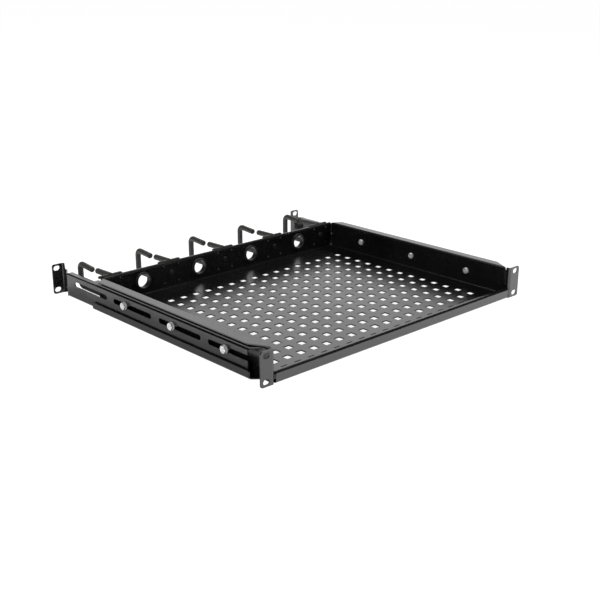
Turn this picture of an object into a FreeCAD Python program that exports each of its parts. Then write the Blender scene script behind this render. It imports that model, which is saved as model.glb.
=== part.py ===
import FreeCAD, Part
import os
from math import acos, cos, hypot, pi, sin, tan

os.makedirs("parts", exist_ok=True)

# Frame: millimetres, +X to the shelf's right seen from the front, +Y to the rear, +Z up.
# The origin is the middle of the front mounting plane, which is the back face of the front ears.

# Rack interface
rack_depth = 450.0
overall_width = 482.6
ear_height = 43.66
ear_slot_edge = 8.75
ear_slot_pitch_z = 31.75
ear_slot_length = 10.0
ear_slot_height = 7.0
ear_corner_r = 3.5
ear_w = 21.3
rear_ear_trim = 1.7

# Sheets
tray_t = 1.5
tray_bend_r = 1.5
rail_t = 1.6
rail_bend_r = 1.5
rear_bend_r = 0.4
ear_bend_r = 2.0
slide_gap = 0.6
touch_gap = 0.3

# How far a cutter runs past a face, and how far joined shapes run into each other
over = 1.0
lap = 12.0

# How far from a plane an edge still counts as that plane's rim
rim_reach = 0.6

# Tray
tray_top_z = 22.0
base_top_z = -16.0
tray_flange_w = 13.2
wall_front_y = 5.5
rear_wall_y = 348.5
rear_wall_gap = 0.1
rear_wall_inset = 1.8
hem_depth = 4.0
flange_front_inner_y = 6.4
flange_front_outer_y = 30.0
flange_rear_inner_cut = 2.0
flange_rear_outer_cut = 10.0

# Hollow nose along the tray's front edge
riser_y = 7.0
nose_top_z = -7.5
nose_front_y = -rail_t
nose_bottom_z = -ear_height / 2
nose_return_y = 25.0
nose_inset = 2.0
toe_front_y = -0.9
toe_corner_r = 4.0

# Perforated base
vent_pitch = 21.85
vent_size = 10.0
vent_first_y = 16.6
vent_side_margin = 24.0
vent_rear_margin = 30.0

# Front rail, outside the tray wall
front_rail_start_y = 3.0
front_rail_past_wall = 8.0
front_rail_top_z = 17.8
front_rail_top_w = 12.5
front_rail_bottom_w = 14.0
lip_top_z = -11.5
lip_corner_r = 1.2
chamfer_web_y = 18.0
chamfer_outer_y = 29.0
front_leg_end_y = 10.0
front_leg_full_y = 4.0
front_leg_low_y = 6.0

# Rear rail, sliding in the front rail
rear_channel_w = 8.8
rear_rail_front_y = 32.8
rear_rail_top_z = 13.6
rear_flange_end = 25.0
rear_leg = 31.0
rear_leg_full = 2.5
rear_leg_slope = 1.5
rear_ear_w = 18.6
step_start = 24.0
step_end = 10.0
slot_height = 7.0
spare_slot_end = 44.3
spare_slot_length = 81.9

# Rail bolts
bolt_ys = (72.5, 176.5, 280.5)
slot_ends_before_bolt = (56.8, 56.8, 58.4)
slot_ends_behind_bolt = (32.8, 28.6, 27.0)
bolt_z = 2.3
bolt_r = 2.5
bolt_hole_r = 2.8
bolt_head_r = 4.75
bolt_head_h = 3.0
bolt_head_round = 2.4
bolt_tip_chamfer = 0.5
head_root = 0.5
bolt_socket_flats = 3.0
bolt_socket_depth = 1.8
bolt_tip_proud = 0.7
washer_r = 5.3
washer_bore_r = 2.7
washer_t = 1.2
nut_flats = 9.0
nut_t = 3.2
nut_bore_r = 2.55
nut_crown = 0.1

# Pattern along the rear wall
ring_count = 5
ring_left_margin = 15.4
ring_right_margin = 27.4

# Cable rings
ring_plate_t = 2.5
ring_plate_top_z = 23.7
ring_plate_bottom_z = -17.0
ring_plate_half_w = 19.0
ring_body_half_w = 15.0
ring_corner_r = 3.0
ring_rod_r = 4.1
ring_bend_r = 7.0
ring_finger_length = 32.0
ring_mouth = 11.2
ring_length = 76.4
ring_bottom_z = -11.5
ring_tip_r = 1.8
ring_root_z = 21.4
ring_finger_z = 20.6
ring_tail_z = 19.3
ring_corner_z = 21.8
ring_cap_low_r = 0.8
ring_cap_top_r = 2.0
pin_x = 12.9
pin_high_z = 17.1
pin_low_z = -8.0
pin_r = 1.4
pin_hole_r = 1.6
pin_proud = 0.4

# Ring screws and nuts
screw_z = 6.0
screw_r = 2.0
screw_hole_r = 2.25
screw_head_r = 3.5
screw_head_h = 2.2
screw_head_round = 1.2
screw_tip_chamfer = 0.4
screw_socket_flats = 2.5
screw_socket_depth = 1.3
screw_nut_flats = 7.0
screw_nut_t = 3.2
screw_nut_bore_r = 2.05
screw_tip_proud = 0.8

# Grommets
grommet_z = 4.5
grommet_bore_r = 10.0
grommet_neck_r = 11.2
grommet_rim_r = 12.75
grommet_lock_r = 12.2
grommet_rim_t = 3.4
grommet_lock_t = 1.5
grommet_tail = 1.4
grommet_hole_r = 11.3
grommet_rim_round = 1.6
grommet_soft_r = 0.6

# Corner reliefs of the folded tray
relief_r = 2.8
relief_inset = 0.4
tab_notch_z = 2.8
tab_notch = 4.0


def vec(x, y, z):
    return FreeCAD.Vector(x, y, z)


def in_xz(y):
    return lambda a, b: vec(a, y, b)


def in_yz(x):
    return lambda a, b: vec(x, a, b)


def in_xy(z):
    return lambda a, b: vec(a, b, z)


def heading(start, end):
    length = hypot(end[0] - start[0], end[1] - start[1])
    return (end[0] - start[0]) / length, (end[1] - start[1]) / length


def corner_points(corners, i):
    """Start, middle and end of the round at one corner."""
    a, b, r = corners[i]
    back = heading((a, b), corners[i - 1])
    ahead = heading((a, b), corners[(i + 1) % len(corners)])
    if r == 0:
        return (a, b), (a, b), (a, b)
    half = acos(back[0] * ahead[0] + back[1] * ahead[1]) / 2
    reach = r / tan(half)
    depth = r / sin(half) - r
    across = heading((0, 0), (back[0] + ahead[0], back[1] + ahead[1]))
    start = (a + back[0] * reach, b + back[1] * reach)
    middle = (a + across[0] * depth, b + across[1] * depth)
    end = (a + ahead[0] * reach, b + ahead[1] * reach)
    return start, middle, end


def outline(corners, place):
    """Face inside a closed run of (a, b, radius) corners."""
    rounds = [corner_points(corners, i) for i in range(len(corners))]
    edges = []
    for i, (start, middle, end) in enumerate(rounds):
        if corners[i][2] > 0:
            edges.append(Part.Arc(place(*start), place(*middle), place(*end)).toShape())
        nxt = rounds[(i + 1) % len(rounds)][0]
        if hypot(nxt[0] - end[0], nxt[1] - end[1]) > 1e-6:
            edges.append(Part.makeLine(place(*end), place(*nxt)))
    return Part.Face(Part.Wire(edges))


def bent_sheet(path, thick, bend_r, place):
    """Section of a bent sheet that lies on the left of a path along its skin."""
    steps = [heading(a, b) for a, b in zip(path, path[1:])]
    near = []
    far = []
    for i, (a, b) in enumerate(path):
        before = steps[max(i - 1, 0)]
        after = steps[min(i, len(steps) - 1)]
        scale = thick / (1 + before[0] * after[0] + before[1] * after[1])
        turn = before[0] * after[1] - before[1] * after[0]
        near_r = 0
        far_r = 0
        if turn > 0:
            near_r = bend_r + thick
            far_r = bend_r
        if turn < 0:
            near_r = bend_r
            far_r = bend_r + thick
        near.append((a, b, near_r))
        far.append((a - (before[1] + after[1]) * scale, b + (before[0] + after[0]) * scale, far_r))
    return outline(near + far[::-1], place)


def block(x0, x1, y0, y1, z0, z1):
    return Part.makeBox(x1 - x0, y1 - y0, z1 - z0, vec(x0, y0, z0))


def rod_x(r, x0, x1, y, z):
    return Part.makeCylinder(r, x1 - x0, vec(x0, y, z), vec(1, 0, 0))


def rod_y(r, y0, y1, x, z):
    return Part.makeCylinder(r, y1 - y0, vec(x, y0, z), vec(0, 1, 0))


def hexagon(flats, place, a, b):
    """Hexagon about (a, b) with two corners on the first axis."""
    reach = flats / 2 / cos(pi / 6)
    turns = [i * pi / 3 for i in range(6)]
    return outline([(a + reach * cos(t), b + reach * sin(t), 0) for t in turns], place)


def prism(corners, place, travel):
    """Straight-sided shape over sharp (a, b) corners."""
    return outline([(a, b, 0) for a, b in corners], place).extrude(travel)


def obround(length, height, place, a, b):
    """Slot face about (a, b), long way first."""
    half_l = length / 2
    half_h = height / 2
    signs = ((-1, -1), (1, -1), (1, 1), (-1, 1))
    return outline([(a + s * half_l, b + q * half_h, half_h) for s, q in signs], place)


def mirrored(shape):
    return shape.mirror(vec(0, 0, 0), vec(1, 0, 0))


def pin_places(x):
    """Places of the four pins that locate the ring at x in the rear wall."""
    return [(x + side * pin_x, z) for side in (-1, 1) for z in (pin_low_z, pin_high_z)]


def save(name, shape):
    solid = shape.removeSplitter()
    solid.exportStep("parts/%s.step" % name)


def save_pair(name, right_shape):
    save("right_" + name, right_shape)
    save("left_" + name, mirrored(right_shape))


# Places that follow from the driving sizes
ear_half_h = ear_height / 2
ear_x = overall_width / 2
ear_slot_x = ear_x - ear_slot_edge
tray_half_w = ear_x - ear_w
flange_half_w = tray_half_w + tray_flange_w
nose_half_w = tray_half_w - nose_inset
rear_wall_half_w = tray_half_w - rear_wall_inset
wall_inner_x = tray_half_w - tray_t
wall_rear_y = rear_wall_y - rear_wall_gap
wall_back_y = rear_wall_y + tray_t
front_rail_end_y = rear_wall_y + front_rail_past_wall
front_rail_top_x = tray_half_w + front_rail_top_w
front_rail_bottom_x = tray_half_w + front_rail_bottom_w
rear_rail_inner_x = tray_half_w + rail_t + slide_gap
rear_rail_x = rear_rail_inner_x + rear_channel_w
ring_pitch = (2 * tray_half_w - ring_left_margin - ring_right_margin) / (ring_count - 1)
ring_xs = [ring_left_margin - tray_half_w + ring_pitch * i for i in range(ring_count)]
grommet_xs = [x + ring_pitch / 2 for x in ring_xs[:-1]]
plate_front_y = rear_wall_y + hem_depth + touch_gap
plate_back_y = plate_front_y + ring_plate_t
ring_back_y = plate_back_y + ring_length
ring_gap_front_y = plate_back_y + ring_finger_length
ring_gap_rear_y = ring_gap_front_y + ring_mouth


# Tray
def tray_channel():
    """Base, side walls and outward flanges."""
    path = [
        (flange_half_w, tray_top_z),
        (wall_inner_x, tray_top_z),
        (wall_inner_x, base_top_z),
        (-wall_inner_x, base_top_z),
        (-wall_inner_x, tray_top_z),
        (-flange_half_w, tray_top_z),
    ]
    face = bent_sheet(path, tray_t, tray_bend_r, in_xz(wall_front_y))
    channel = face.extrude(vec(0, wall_rear_y - wall_front_y, 0))
    past = flange_half_w + over
    stretch = 1 + over / tray_flange_w
    front_y = flange_front_inner_y + (flange_front_outer_y - flange_front_inner_y) * stretch
    inner_y = rear_wall_y - flange_rear_inner_cut
    rear_y = inner_y - (flange_rear_outer_cut - flange_rear_inner_cut) * stretch
    end_y = wall_rear_y + over
    front = [(tray_half_w, 0), (past, 0), (past, front_y), (tray_half_w, flange_front_inner_y)]
    rear = [(tray_half_w, inner_y), (past, rear_y), (past, end_y), (tray_half_w, end_y)]
    low_z = tray_top_z - tray_t - tray_bend_r - over
    for corners in (front, rear):
        cutter = prism(corners, in_xy(low_z), vec(0, 0, tray_top_z + over - low_z))
        channel = channel.cut(cutter).cut(mirrored(cutter))
    return channel


def tray_nose():
    """Riser, top, front face and bottom return of the hollow nose."""
    path = [
        (riser_y + lap, base_top_z),
        (riser_y, base_top_z),
        (riser_y, nose_top_z),
        (nose_front_y, nose_top_z),
        (nose_front_y, nose_bottom_z),
        (nose_return_y, nose_bottom_z),
    ]
    face = bent_sheet(path, tray_t, tray_bend_r, in_yz(-nose_half_w))
    return face.extrude(vec(2 * nose_half_w, 0, 0))


def tray_rear_wall():
    """Rear wall with its folded top edge."""
    path = [
        (rear_wall_y + hem_depth, tray_top_z),
        (rear_wall_y, tray_top_z),
        (rear_wall_y, base_top_z),
        (rear_wall_y - lap, base_top_z),
    ]
    face = bent_sheet(path, tray_t, tray_bend_r, in_yz(-rear_wall_half_w))
    return face.extrude(vec(2 * rear_wall_half_w, 0, 0))


def nose_toe():
    """Foot of the side wall that closes the end of the nose."""
    corners = [
        (toe_front_y, base_top_z, 0),
        (wall_front_y + over, base_top_z, 0),
        (wall_front_y + over, nose_top_z, 0),
        (toe_front_y, nose_top_z, toe_corner_r),
    ]
    return outline(corners, in_yz(wall_inner_x)).extrude(vec(tray_t, 0, 0))


def vent_holes():
    """Square holes of the base."""
    half = vent_size / 2
    low_z = base_top_z - tray_t - over / 2
    high_z = base_top_z + over / 2
    columns = 1 + int(2 * (wall_inner_x - vent_side_margin) / vent_pitch)
    rows = 1 + int((rear_wall_y - vent_rear_margin - vent_first_y) / vent_pitch)
    cutters = []
    for row in range(rows):
        y = vent_first_y + vent_pitch * row
        for column in range(columns):
            x = (column - (columns - 1) / 2) * vent_pitch
            cutters.append(block(x - half, x + half, y - half, y + half, low_z, high_z))
    return cutters


def wall_holes():
    """Reliefs and bolt holes of the right wall."""
    relief_z = base_top_z - tray_t - over
    relief_h = tray_t + tray_bend_r + 2 * over
    relief_x = rear_wall_half_w - relief_inset
    relief = Part.makeCylinder(relief_r, relief_h, vec(relief_x, rear_wall_y - over, relief_z))
    notch_x = rear_wall_half_w + touch_gap
    notch_y = wall_rear_y - tab_notch
    notch_z = tab_notch_z - tab_notch / 2
    out_x = tray_half_w + over
    notch = block(notch_x, out_x, notch_y, wall_rear_y + over, notch_z, notch_z + tab_notch)
    bolts = [rod_x(bolt_hole_r, wall_inner_x - over, out_x, y, bolt_z) for y in bolt_ys]
    return [relief, notch] + bolts


def build_tray():
    channel = tray_channel()
    low_z = base_top_z - tray_t - over
    high_z = base_top_z + over
    bend_x = wall_inner_x - tray_bend_r
    nose_join_y = riser_y + lap / 2
    rear_join_y = rear_wall_y - lap / 2
    channel = channel.cut(block(-bend_x, bend_x, 0, nose_join_y, low_z, high_z))
    channel = channel.cut(block(-bend_x, bend_x, rear_join_y, wall_rear_y + over, low_z, high_z))
    tray = channel.fuse([tray_nose(), tray_rear_wall(), nose_toe(), mirrored(nose_toe())])
    cutters = wall_holes()
    cutters += [mirrored(cutter) for cutter in cutters]
    for x in grommet_xs:
        cutters.append(rod_y(grommet_hole_r, rear_wall_y - over, wall_back_y + over, x, grommet_z))
    for x in ring_xs:
        cutters.append(rod_y(screw_hole_r, rear_wall_y - over, wall_back_y + over, x, screw_z))
        for pin_at_x, z in pin_places(x):
            cutters.append(rod_y(pin_hole_r, rear_wall_y - over, wall_back_y + over, pin_at_x, z))
    return tray.cut(cutters + vent_holes())


# Mounting ears, each with a short leg that runs on into its rail's web
def ear_cutters(y, edge_x):
    """Slots and rounded outer corners of an ear whose front face is at y and outer edge at edge_x."""
    deep = vec(0, rail_t + 2 * over, 0)
    place = in_xz(y - over)
    cutters = []
    for z in (-ear_slot_pitch_z / 2, ear_slot_pitch_z / 2):
        face = obround(ear_slot_length, ear_slot_height, place, ear_slot_x, z)
        cutters.append(face.extrude(deep))
    inner_x = edge_x - ear_corner_r
    high_z = ear_half_h + over
    plain = prism([(inner_x, -high_z), (edge_x + over, -high_z), (edge_x + over, high_z), (inner_x, high_z)],
                  place, deep)
    corners = [
        (inner_x - over, -ear_half_h, 0),
        (edge_x, -ear_half_h, ear_corner_r),
        (edge_x, ear_half_h, ear_corner_r),
        (inner_x - over, ear_half_h, 0),
    ]
    cutters.append(plain.cut(outline(corners, place).extrude(deep)))
    return cutters


def front_rail_channel():
    """Web, top flange, bottom flange and lip, with the front corner cut away."""
    path = [
        (front_rail_top_x, front_rail_top_z),
        (tray_half_w, front_rail_top_z),
        (tray_half_w, -ear_half_h),
        (front_rail_bottom_x, -ear_half_h),
        (front_rail_bottom_x, lip_top_z),
    ]
    face = bent_sheet(path, rail_t, rail_bend_r, in_xz(front_rail_start_y))
    channel = face.extrude(vec(0, front_rail_end_y - front_rail_start_y, 0))
    web_x = tray_half_w + rail_t
    past = max(front_rail_top_x, front_rail_bottom_x) + over
    slope = (chamfer_outer_y - chamfer_web_y) / (front_rail_bottom_x - web_x)
    corners = [(web_x, 0), (past, 0), (past, chamfer_web_y + slope * (past - web_x)), (web_x, chamfer_web_y)]
    chamfer = prism(corners, in_xy(-ear_half_h - over), vec(0, 0, ear_height + 2 * over))
    lip_x = front_rail_bottom_x - rail_t - over / 2
    round_y = chamfer_outer_y + lip_corner_r
    round_z = lip_top_z - lip_corner_r
    corner = block(lip_x, past, chamfer_outer_y - 2 * over, round_y, round_z, lip_top_z + over)
    corner = corner.cut(rod_x(lip_corner_r, lip_x - over, past + over, round_y, round_z))
    return channel.cut([chamfer, corner])


def build_front_rail():
    path = [(tray_half_w, front_leg_end_y), (tray_half_w, -rail_t), (ear_x, -rail_t)]
    ear = bent_sheet(path, rail_t, ear_bend_r, in_xy(-ear_half_h)).extrude(vec(0, 0, ear_height))
    past_y = front_leg_end_y + over
    cutters = ear_cutters(-rail_t, ear_x)
    top_z = front_rail_top_z - rail_bend_r - rail_t
    low_z = -ear_half_h + rail_bend_r + rail_t
    for full_z, leg_z in ((ear_half_h + over, top_z), (-ear_half_h - over, low_z)):
        corners = [
            (front_leg_full_y, full_z),
            (past_y, full_z),
            (past_y, leg_z),
            (front_leg_low_y, leg_z),
        ]
        cutters.append(prism(corners, in_yz(tray_half_w - over), vec(rail_t + 2 * over, 0, 0)))
    rail = front_rail_channel().fuse(ear.cut(cutters))
    out_x = tray_half_w + rail_t + over
    return rail.cut([rod_x(bolt_hole_r, tray_half_w - over, out_x, y, bolt_z) for y in bolt_ys])


def build_rear_rail():
    bottom_z = -ear_half_h + rail_t + touch_gap
    path = [
        (rear_rail_inner_x, bottom_z),
        (rear_rail_x, bottom_z),
        (rear_rail_x, rear_rail_top_z),
        (rear_rail_inner_x, rear_rail_top_z),
    ]
    flange_end_y = rack_depth - rear_flange_end
    leg_full_y = rack_depth - rear_leg_full
    leg_y = rack_depth - rear_leg
    face = bent_sheet(path, rail_t, rear_bend_r, in_xz(rear_rail_front_y))
    channel = face.extrude(vec(0, flange_end_y - rear_rail_front_y, 0))
    back_y = rack_depth + rail_t
    web_x = rear_rail_x - rail_t
    edge_x = ear_x - rear_ear_trim
    root_x = edge_x - rear_ear_w
    path = [
        (edge_x, back_y),
        (root_x, back_y),
        (root_x, rack_depth - step_end),
        (web_x, rack_depth - step_start),
        (web_x, leg_y),
    ]
    ear = bent_sheet(path, rail_t, ear_bend_r, in_xy(-ear_half_h)).extrude(vec(0, 0, ear_height))
    cutters = ear_cutters(rack_depth, edge_x)
    bend = rear_bend_r + rail_t
    start_y = leg_y - over
    through = vec(rail_t + 2 * over, 0, 0)
    past_step = vec(rear_rail_x - root_x + 2 * over, 0, 0)
    for sign, edge_z in ((1, rear_rail_top_z), (-1, bottom_z)):
        corners = [
            (start_y, edge_z - sign * bend),
            (flange_end_y, edge_z - sign * bend),
            (flange_end_y, edge_z),
            (leg_full_y - rear_leg_slope, edge_z),
            (leg_full_y, sign * ear_half_h),
            (leg_full_y, sign * (ear_half_h + over)),
            (start_y, sign * (ear_half_h + over)),
        ]
        cutters.append(prism(corners, in_yz(root_x - over), past_step))
    rail = channel.fuse(ear.cut(cutters))
    spare_end_y = rack_depth - spare_slot_end
    spans = [(spare_end_y - spare_slot_length, spare_end_y)]
    for y, before, behind in zip(bolt_ys, slot_ends_before_bolt, slot_ends_behind_bolt):
        spans.append((y - before, y + behind))
    slots = []
    for y0, y1 in spans:
        face = obround(y1 - y0, slot_height, in_yz(web_x - over), (y0 + y1) / 2, bolt_z)
        slots.append(face.extrude(through))
    return rail.cut(slots)


# Rail fasteners
def rims(shape, axis, place):
    """Round edges of a shape that lie in the plane at one place along an axis."""
    found = []
    for edge in shape.Edges:
        low = getattr(edge.BoundBox, axis + "Min")
        high = getattr(edge.BoundBox, axis + "Max")
        if edge.Closed and abs(low - place) < rim_reach and abs(high - place) < rim_reach:
            found.append(edge)
    return found


def build_bolt(y):
    head_x = wall_inner_x - bolt_head_h
    tip_x = rear_rail_x + touch_gap + washer_t + nut_t + bolt_tip_proud
    head = rod_x(bolt_head_r, head_x, wall_inner_x, y, bolt_z)
    head = head.makeFillet(bolt_head_round, rims(head, "X", head_x))
    shank = rod_x(bolt_r, wall_inner_x - head_root, tip_x, y, bolt_z)
    shank = shank.makeChamfer(bolt_tip_chamfer, rims(shank, "X", tip_x))
    socket = hexagon(bolt_socket_flats, in_yz(head_x - over), y, bolt_z)
    return head.fuse(shank).cut(socket.extrude(vec(bolt_socket_depth + over, 0, 0)))


def build_washer(y):
    x0 = rear_rail_x + touch_gap
    disc = rod_x(washer_r, x0, x0 + washer_t, y, bolt_z)
    return disc.cut(rod_x(washer_bore_r, x0 - over, x0 + washer_t + over, y, bolt_z))


def build_nut(y):
    x0 = rear_rail_x + touch_gap + washer_t
    body = hexagon(nut_flats, in_yz(x0), y, bolt_z).extrude(vec(nut_t, 0, 0))
    crown_r = nut_flats / 2 + nut_crown
    crown = Part.makeCone(crown_r + nut_t, crown_r, nut_t, vec(x0, y, bolt_z), vec(1, 0, 0))
    return body.common(crown).cut(rod_x(nut_bore_r, x0 - over, x0 + nut_t + over, y, bolt_z))


# Cable rings
def rounded_rod(points, x):
    """Rod along a planar run of (y, z) points with round bends."""
    edges = []
    last = points[0]
    for before, corner, after in zip(points, points[1:], points[2:]):
        trio = [before + (0,), corner + (ring_bend_r,), after + (0,)]
        start, middle, end = corner_points(trio, 1)
        edges.append(Part.makeLine(vec(x, *last), vec(x, *start)))
        edges.append(Part.Arc(vec(x, *start), vec(x, *middle), vec(x, *end)).toShape())
        last = end
    edges.append(Part.makeLine(vec(x, *last), vec(x, *points[-1])))
    along = heading(points[0], points[1])
    circle = Part.makeCircle(ring_rod_r, vec(x, *points[0]), vec(0, *along))
    return Part.Wire(edges).makePipeShell([Part.Wire([circle])], True, True)


def ring_plate(x):
    """Block behind the wall with a wider cap behind the wall's top fold."""
    shoulder_z = tray_top_z - tray_t - touch_gap
    body_corners = [
        (x - ring_body_half_w, ring_plate_bottom_z, ring_corner_r),
        (x + ring_body_half_w, ring_plate_bottom_z, ring_corner_r),
        (x + ring_body_half_w, shoulder_z, 0),
        (x - ring_body_half_w, shoulder_z, 0),
    ]
    body = outline(body_corners, in_xz(wall_back_y)).extrude(vec(0, plate_back_y - wall_back_y, 0))
    cap_corners = [
        (x - ring_plate_half_w, shoulder_z, ring_cap_low_r),
        (x + ring_plate_half_w, shoulder_z, ring_cap_low_r),
        (x + ring_plate_half_w, ring_plate_top_z, ring_cap_top_r),
        (x - ring_plate_half_w, ring_plate_top_z, ring_cap_top_r),
    ]
    cap = outline(cap_corners, in_xz(plate_front_y)).extrude(vec(0, ring_plate_t, 0))
    pins = [rod_y(pin_r, rear_wall_y - pin_proud, wall_back_y + over, a, z) for a, z in pin_places(x)]
    return body.fuse([cap] + pins)


def build_ring(x):
    root_y = plate_back_y - over
    finger = rounded_rod([(root_y, ring_root_z), (ring_gap_front_y, ring_finger_z)], x)
    run = [
        (ring_gap_rear_y, ring_tail_z),
        (ring_back_y, ring_corner_z),
        (ring_back_y, ring_bottom_z),
        (root_y, ring_bottom_z),
    ]
    hook = rounded_rod(run, x)
    finger = finger.makeFillet(ring_tip_r, rims(finger, "Y", ring_gap_front_y))
    hook = hook.makeFillet(ring_tip_r, rims(hook, "Y", ring_gap_rear_y))
    ring = ring_plate(x).fuse([finger, hook])
    return ring.cut(rod_y(screw_hole_r, wall_back_y - over, plate_back_y + over, x, screw_z))


def build_screw(x):
    head_y = rear_wall_y - screw_head_h
    tip_y = plate_back_y + screw_nut_t + screw_tip_proud
    head = rod_y(screw_head_r, head_y, rear_wall_y, x, screw_z)
    head = head.makeFillet(screw_head_round, rims(head, "Y", head_y))
    shank = rod_y(screw_r, rear_wall_y - head_root, tip_y, x, screw_z)
    shank = shank.makeChamfer(screw_tip_chamfer, rims(shank, "Y", tip_y))
    socket = hexagon(screw_socket_flats, in_xz(head_y - over), x, screw_z)
    return head.fuse(shank).cut(socket.extrude(vec(0, screw_socket_depth + over, 0)))


def build_ring_nut(x):
    end_y = plate_back_y + screw_nut_t
    body = hexagon(screw_nut_flats, in_xz(plate_back_y), x, screw_z).extrude(vec(0, screw_nut_t, 0))
    return body.cut(rod_y(screw_nut_bore_r, plate_back_y - over, end_y + over, x, screw_z))


# Grommets
def build_grommet(x):
    front_y = rear_wall_y - grommet_rim_t
    lock_y = wall_back_y + grommet_lock_t
    tail_y = lock_y + grommet_tail
    corners = [
        (grommet_bore_r, front_y, grommet_soft_r),
        (grommet_rim_r, front_y, grommet_rim_round),
        (grommet_rim_r, rear_wall_y, 0),
        (grommet_neck_r, rear_wall_y, 0),
        (grommet_neck_r, wall_back_y, 0),
        (grommet_lock_r, wall_back_y, 0),
        (grommet_lock_r, lock_y, grommet_soft_r),
        (grommet_neck_r, tail_y, grommet_soft_r),
        (grommet_bore_r, tail_y, 0),
    ]
    body = outline(corners, in_xy(0)).revolve(vec(0, 0, 0), vec(0, 1, 0), 360)
    body.translate(vec(x, 0, grommet_z))
    return body


save("tray", build_tray())
save_pair("front_rail", build_front_rail())
save_pair("rear_rail", build_rear_rail())
for i, y in enumerate(bolt_ys, start=1):
    save_pair("rail_bolt_%d" % i, build_bolt(y))
    save_pair("rail_washer_%d" % i, build_washer(y))
    save_pair("rail_nut_%d" % i, build_nut(y))
for i, x in enumerate(ring_xs, start=1):
    save("cable_ring_%d" % i, build_ring(x))
    save("ring_screw_%d" % i, build_screw(x))
    save("ring_nut_%d" % i, build_ring_nut(x))
for i, x in enumerate(grommet_xs, start=1):
    save("cable_grommet_%d" % i, build_grommet(x))
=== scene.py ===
import bpy
from mathutils import Matrix, Vector


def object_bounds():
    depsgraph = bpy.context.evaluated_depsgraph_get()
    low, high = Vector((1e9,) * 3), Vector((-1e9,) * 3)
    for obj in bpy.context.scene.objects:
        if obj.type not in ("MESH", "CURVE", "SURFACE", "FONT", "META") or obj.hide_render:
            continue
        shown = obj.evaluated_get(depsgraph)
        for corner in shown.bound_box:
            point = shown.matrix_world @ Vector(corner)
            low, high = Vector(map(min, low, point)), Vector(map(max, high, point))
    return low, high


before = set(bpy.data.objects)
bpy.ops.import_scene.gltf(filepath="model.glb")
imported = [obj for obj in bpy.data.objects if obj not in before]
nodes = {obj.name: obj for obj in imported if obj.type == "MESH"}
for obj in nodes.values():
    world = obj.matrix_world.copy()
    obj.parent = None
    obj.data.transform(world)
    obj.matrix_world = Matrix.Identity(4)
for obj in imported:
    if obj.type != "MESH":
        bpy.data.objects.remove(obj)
cad_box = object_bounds()

# Range of a noise texture's values that is spread over a material's range
noise_low = 0.35
noise_high = 0.65

# Paint, plastic and rubber: scales in cycles per metre, spreads and shares from 0 to 1
cloud_scale = 14.0
cloud_detail = 4.0
cloud_rough = 0.55
cloud_gloss_spread = 0.025
speck_ratio = 1.7
speck_rough = 0.6
speck_gloss_spread = 0.02
fleck_share = 0.35
fleck_dark = (0.55,) * 3
fleck_light = (1.0,) * 3
peel_rough = 0.5
peel_strength = 0.35
fine_detail = 2.0
speck_seed_step = 3.0
peel_seed_step = 7.0

# Zinc plate: the same units, and the depth in metres
zinc_metallic = 0.7
patch_scale = 420.0
patch_detail = 3.0
patch_rough = 0.6
patch_gloss_spread = 0.06
plate_grain_scale = 2600.0
plate_grain_rough = 0.5
plate_grain_strength = 0.3
plate_grain_depth = 0.00003
plate_grain_seed_step = 5.0

# Floor and world: half size in metres, levels as shares of white
floor_half = 30.0
floor_glow = 0.985
floor_lift = 0.12
floor_plain = 0.8
world_seen = 1.0
world_dim = 0.06
white = (1, 1, 1, 1)

# Camera: millimetres for the lens, metres for its place
sensor_width = 36.0
lens = 60.176
shift_x = 0.04437
shift_y = 0.01156
clip_start = 0.05
clip_end = 100.0
camera_place = (-0.91257, -0.77705, 0.43602)
right = Vector((0.74494, -0.66710, -0.00701))
down = Vector((-0.22617, -0.24265, -0.94338))
ahead = Vector((0.62763, 0.70434, -0.33164))


# Node helpers
def new_material(name):
    mat = bpy.data.materials.new(name)
    mat.use_nodes = True
    tree = mat.node_tree
    tree.nodes.clear()
    out = tree.nodes.new("ShaderNodeOutputMaterial")
    return mat, tree, out


def noise(tree, coord, scale, detail, rough, seed):
    node = tree.nodes.new("ShaderNodeTexNoise")
    node.noise_dimensions = "4D"
    node.inputs["W"].default_value = seed
    node.inputs["Scale"].default_value = scale
    node.inputs["Detail"].default_value = detail
    node.inputs["Roughness"].default_value = rough
    tree.links.new(coord, node.inputs["Vector"])
    return node.outputs["Fac"]


def remap(tree, value, low, high):
    node = tree.nodes.new("ShaderNodeMapRange")
    node.inputs["From Min"].default_value = noise_low
    node.inputs["From Max"].default_value = noise_high
    node.inputs["To Min"].default_value = low
    node.inputs["To Max"].default_value = high
    tree.links.new(value, node.inputs["Value"])
    return node.outputs["Result"]


def ramp(tree, value, dark, light):
    node = tree.nodes.new("ShaderNodeMix")
    node.data_type = "RGBA"
    node.inputs["A"].default_value = (*dark, 1)
    node.inputs["B"].default_value = (*light, 1)
    tree.links.new(value, node.inputs["Factor"])
    return node.outputs["Result"]


def bump(tree, height, strength, distance):
    node = tree.nodes.new("ShaderNodeBump")
    node.inputs["Strength"].default_value = strength
    node.inputs["Distance"].default_value = distance
    tree.links.new(height, node.inputs["Height"])
    return node.outputs["Normal"]


def object_coord(tree):
    return tree.nodes.new("ShaderNodeTexCoord").outputs["Object"]


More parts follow.
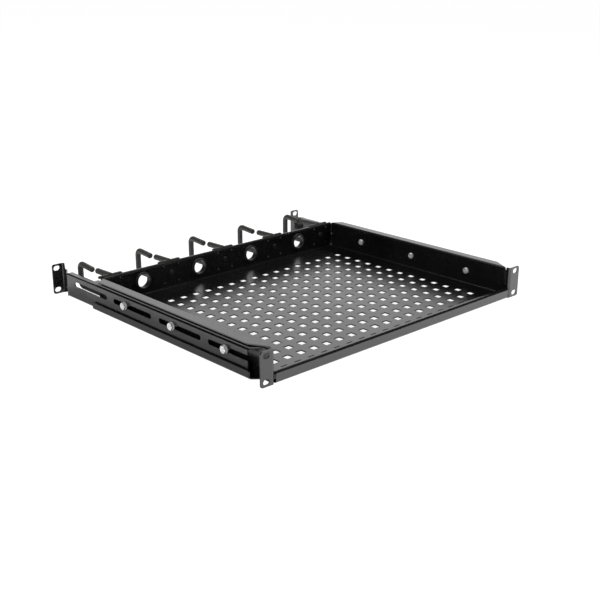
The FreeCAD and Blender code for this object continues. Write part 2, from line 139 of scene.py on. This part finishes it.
def painted(name, dark, light, rough, seed, level=1.0, grain=1500.0, depth=0.00002):
    """Paint, plastic or rubber: fine orange peel, faint cloudiness in colour and gloss."""
    mat, tree, out = new_material(name)
    shader = tree.nodes.new("ShaderNodeBsdfPrincipled")
    shader.inputs["Specular IOR Level"].default_value = level
    coord = object_coord(tree)
    cloud = noise(tree, coord, cloud_scale, cloud_detail, cloud_rough, seed)
    speck = noise(tree, coord, grain * speck_ratio, fine_detail, speck_rough, seed + speck_seed_step)
    peel = noise(tree, coord, grain, fine_detail, peel_rough, seed + peel_seed_step)
    tint = ramp(tree, remap(tree, cloud, 0.0, 1.0), dark, light)
    fleck = tree.nodes.new("ShaderNodeMix")
    fleck.data_type = "RGBA"
    fleck.blend_type = "MULTIPLY"
    fleck.inputs["Factor"].default_value = fleck_share
    tree.links.new(tint, fleck.inputs["A"])
    tree.links.new(ramp(tree, remap(tree, speck, 0.0, 1.0), fleck_dark, fleck_light), fleck.inputs["B"])
    tree.links.new(fleck.outputs["Result"], shader.inputs["Base Color"])
    gloss = tree.nodes.new("ShaderNodeMath")
    gloss.operation = "ADD"
    cloud_gloss = remap(tree, cloud, rough - cloud_gloss_spread, rough + cloud_gloss_spread)
    tree.links.new(cloud_gloss, gloss.inputs[0])
    tree.links.new(remap(tree, speck, -speck_gloss_spread, speck_gloss_spread), gloss.inputs[1])
    tree.links.new(gloss.outputs[0], shader.inputs["Roughness"])
    tree.links.new(bump(tree, peel, peel_strength, depth), shader.inputs["Normal"])
    tree.links.new(shader.outputs[0], out.inputs["Surface"])
    return mat


def plated(name, dark, light, rough, seed):
    """Zinc plate: bright, mostly metallic, with a fine grain and patchy gloss."""
    mat, tree, out = new_material(name)
    shader = tree.nodes.new("ShaderNodeBsdfPrincipled")
    shader.inputs["Metallic"].default_value = zinc_metallic
    coord = object_coord(tree)
    patch = noise(tree, coord, patch_scale, patch_detail, patch_rough, seed)
    grain_seed = seed + plate_grain_seed_step
    grain = noise(tree, coord, plate_grain_scale, fine_detail, plate_grain_rough, grain_seed)
    tree.links.new(ramp(tree, remap(tree, patch, 0.0, 1.0), dark, light), shader.inputs["Base Color"])
    gloss = remap(tree, patch, rough - patch_gloss_spread, rough + patch_gloss_spread)
    tree.links.new(gloss, shader.inputs["Roughness"])
    tree.links.new(bump(tree, grain, plate_grain_strength, plate_grain_depth), shader.inputs["Normal"])
    tree.links.new(shader.outputs[0], out.inputs["Surface"])
    return mat


# Materials: colours are linear, grain is in cycles per metre and depth in metres
coat_dark = (0.002, 0.002, 0.0022)
coat_light = (0.004, 0.004, 0.0042)
tray_paint = painted("tray_paint", coat_dark, coat_light, rough=0.25, seed=1.0)
rail_paint = painted("rail_paint", coat_dark, coat_light, rough=0.25, seed=11.0)
ring_plastic = painted(
    "ring_plastic", (0.03, 0.03, 0.028), (0.042, 0.042, 0.04),
    rough=0.5, seed=21.0, level=0.5, grain=2200.0, depth=0.00004,
)
black_screw = painted(
    "black_screw", (0.008, 0.008, 0.008), (0.016, 0.016, 0.016),
    rough=0.32, seed=31.0, level=0.8, grain=3000.0, depth=0.00003,
)
grommet_rubber = painted(
    "grommet_rubber", (0.009, 0.009, 0.009), (0.016, 0.016, 0.016),
    rough=0.4, seed=41.0, level=0.5, grain=1800.0, depth=0.00003,
)
zinc = plated("zinc", (0.78, 0.78, 0.78), (0.95, 0.95, 0.94), rough=0.3, seed=51.0)


def finish_of(name):
    if name.startswith("cable_ring"):
        return ring_plastic
    if name.startswith("cable_grommet"):
        return grommet_rubber
    if name.startswith("ring_screw"):
        return black_screw
    if name.startswith("ring_nut") or "_bolt_" in name or "_washer_" in name or "_nut_" in name:
        return zinc
    if name.endswith("_rail"):
        return rail_paint
    return tray_paint


for name, node in nodes.items():
    for place in node.material_slots:
        place.material = finish_of(name)


# Floor
def matte(tree, level):
    node = tree.nodes.new("ShaderNodeBsdfDiffuse")
    node.inputs["Color"].default_value = (level, level, level, 1)
    return node.outputs[0]


def seen_white(tree, glow_level, lift_level, plain_level):
    """White with a faint shadow to camera and transmitted rays, a plain lit surface to all others."""
    path = tree.nodes.new("ShaderNodeLightPath")
    seen = tree.nodes.new("ShaderNodeMath")
    seen.operation = "MAXIMUM"
    tree.links.new(path.outputs["Is Camera Ray"], seen.inputs[0])
    tree.links.new(path.outputs["Is Transmission Ray"], seen.inputs[1])
    glow = tree.nodes.new("ShaderNodeEmission")
    glow.inputs["Strength"].default_value = glow_level
    add = tree.nodes.new("ShaderNodeAddShader")
    tree.links.new(glow.outputs[0], add.inputs[0])
    tree.links.new(matte(tree, lift_level), add.inputs[1])
    mix = tree.nodes.new("ShaderNodeMixShader")
    tree.links.new(seen.outputs[0], mix.inputs[0])
    tree.links.new(matte(tree, plain_level), mix.inputs[1])
    tree.links.new(add.outputs[0], mix.inputs[2])
    return mix.outputs[0]


floor_z = cad_box[0].z
turns = [(-1, -1), (1, -1), (1, 1), (-1, 1)]
corners = [(x * floor_half, y * floor_half, floor_z) for x, y in turns]
mesh = bpy.data.meshes.new("floor")
mesh.from_pydata(corners, [], [(0, 1, 2, 3)])
floor = bpy.data.objects.new("floor", mesh)
bpy.context.scene.collection.objects.link(floor)
mat, tree, out = new_material("floor_white")
tree.links.new(seen_white(tree, floor_glow, floor_lift, floor_plain), out.inputs["Surface"])
mesh.materials.append(mat)

# World
world = bpy.data.worlds.new("studio")
bpy.context.scene.world = world
world.use_nodes = True
tree = world.node_tree
tree.nodes.clear()
out = tree.nodes.new("ShaderNodeOutputWorld")
path = tree.nodes.new("ShaderNodeLightPath")
seen = tree.nodes.new("ShaderNodeBackground")
seen.inputs["Color"].default_value = white
seen.inputs["Strength"].default_value = world_seen
dim = tree.nodes.new("ShaderNodeBackground")
dim.inputs["Color"].default_value = white
dim.inputs["Strength"].default_value = world_dim
mix = tree.nodes.new("ShaderNodeMixShader")
tree.links.new(path.outputs["Is Camera Ray"], mix.inputs[0])
tree.links.new(dim.outputs[0], mix.inputs[1])
tree.links.new(seen.outputs[0], mix.inputs[2])
tree.links.new(mix.outputs[0], out.inputs["Surface"])


# Lights: places and sizes in metres, power in watts
centre = (0.0, 0.2, 0.0)


def softbox(name, place, width, height, power):
    """A rectangular lamp that faces the shelf and that the camera doesn't see."""
    data = bpy.data.lights.new(name, "AREA")
    data.shape = "RECTANGLE"
    data.size = width
    data.size_y = height
    data.energy = power
    obj = bpy.data.objects.new(name, data)
    obj.location = place
    obj.rotation_mode = "QUATERNION"
    obj.rotation_quaternion = (Vector(centre) - Vector(place)).to_track_quat("-Z", "Y")
    obj.visible_camera = False
    bpy.context.scene.collection.objects.link(obj)
    return obj


key = softbox("key_light", place=(2.1, -0.5, 1.9), width=1.0, height=1.0, power=150.0)
key.visible_glossy = False
fill = softbox("left_fill", place=(-2.0, -0.2, 0.9), width=1.0, height=1.0, power=40.0)
fill.visible_glossy = False
softbox("back_light", place=(2.0, 2.3, 0.95), width=3.0, height=2.0, power=21.0)
softbox("top_light", place=(-0.6, 0.6, 2.2), width=1.6, height=1.6, power=6.0)
overhead = softbox("overhead", place=(0.0, 0.2, 2.6), width=2.6, height=2.6, power=30.0)
overhead.visible_diffuse = False

# Camera
camera_data = bpy.data.cameras.new("camera")
camera_data.sensor_width = sensor_width
camera_data.lens = lens
camera_data.shift_x = shift_x
camera_data.shift_y = shift_y
camera_data.clip_start = clip_start
camera_data.clip_end = clip_end
camera = bpy.data.objects.new("camera", camera_data)
turn = Matrix((right, -down, -ahead)).transposed()
camera.matrix_world = Matrix.Translation(camera_place) @ turn.to_4x4()
bpy.context.scene.collection.objects.link(camera)
bpy.context.scene.camera = camera

bpy.context.scene.view_settings.view_transform = "Standard"
